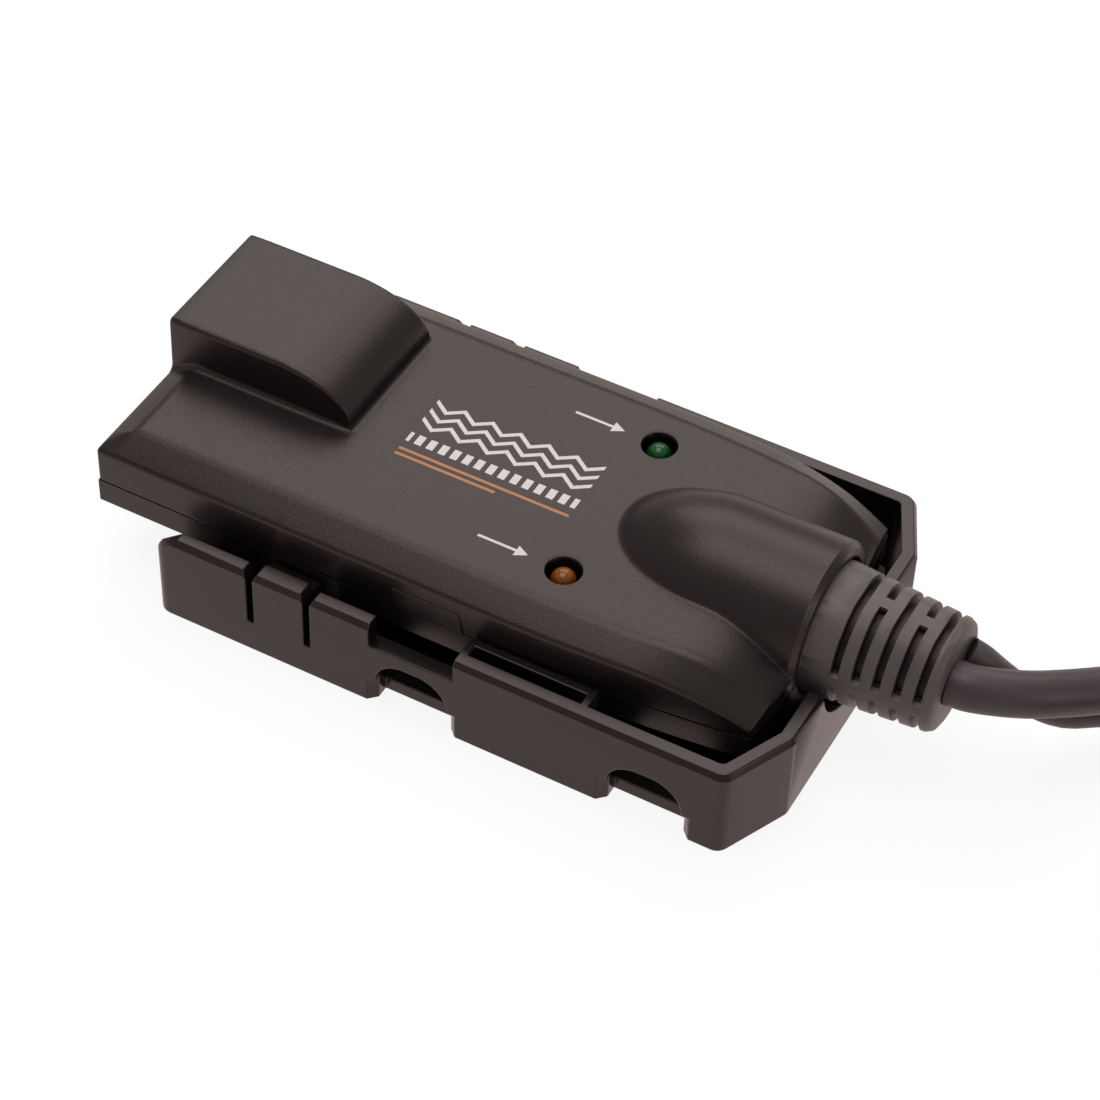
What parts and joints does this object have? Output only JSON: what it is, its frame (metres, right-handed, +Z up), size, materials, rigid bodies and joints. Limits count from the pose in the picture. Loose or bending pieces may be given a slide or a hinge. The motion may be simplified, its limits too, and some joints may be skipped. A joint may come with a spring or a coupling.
{
  "type": "usb vga kvm adapter",
  "caption": "Dark adapter case clipped in an open holder, with a network socket at one end and a thick VGA lead and a thin USB lead at the other.",
  "frame": {"origin": "middle of the length and width of the case with its holder and boot, on the surface that the holder stands on, without the free leads and their plugs", "axes": "+X from the network socket towards the leads, +Y across the case, +Z up"},
  "size_m": [0.2641, 0.0746, 0.0266],
  "materials": {
    "holder_plastic": "satin",
    "case_plastic": "fine texture",
    "board": "solder mask",
    "black_plastic": "matt",
    "plug_plastic": "satin",
    "aluminium_can": "satin",
    "gold_contacts": "polished",
    "green_lens": "clear tinted",
    "amber_lens": "clear tinted",
    "ivory_plastic": "matt",
    "steel": "plated",
    "boot_rubber": "satin",
    "lead_jacket": "satin",
    "blue_plastic": "matt",
    "white_plastic": "matt"
  },
  "bodies": {
    "holder_and_leads": {"holder": "holder_plastic", "vga_lead": "lead_jacket", "vga_coil": "lead_jacket", "vga_tail": "lead_jacket", "usb_lead": "lead_jacket", "usb_coil": "lead_jacket", "usb_tail": "lead_jacket", "coil_tie": "black_plastic", "vga_hood": "plug_plastic", "vga_shell": "steel", "vga_insulator": "blue_plastic", "vga_pins": "gold_contacts", "usb_hood": "plug_plastic", "usb_shell": "steel", "usb_tongue": "white_plastic", "usb_contacts": "gold_contacts"},
    "adapter": {"top_cover": "case_plastic", "bottom_cover": "case_plastic", "circuit_board": "board", "chips": "black_plastic", "capacitors": "aluminium_can", "crystal": "aluminium_can", "network_socket": "black_plastic", "socket_contacts": "gold_contacts", "green_lamp": "green_lens", "amber_lamp": "amber_lens", "vga_board_plug": "ivory_plastic", "usb_board_plug": "ivory_plastic", "cable_clamp": "black_plastic", "clamp_screws": "steel", "cover_screws": "steel", "strain_relief_boot": "boot_rubber", "vga_inner_lead": "lead_jacket", "usb_inner_lead": "lead_jacket"},
    "left_thumbscrew": {"thumbscrew_left": "plug_plastic"},
    "right_thumbscrew": {"thumbscrew_right": "plug_plastic"}
  },
  "joints": [
    {"name": "adapter_lift", "type": "slide", "parent": "holder_and_leads", "child": "adapter", "axis": [0, 0, 1], "range_m": [0, 0.012]},
    {"name": "left_thumbscrew_turn", "type": "hinge", "parent": "holder_and_leads", "child": "left_thumbscrew", "pos_m": [0.17105, 0.03649, 0.00725], "axis": [1, 0, 0], "continuous": true},
    {"name": "right_thumbscrew_turn", "type": "hinge", "parent": "holder_and_leads", "child": "right_thumbscrew", "pos_m": [0.17105, 0.0115, 0.00725], "axis": [1, 0, 0], "continuous": true}
  ]
}
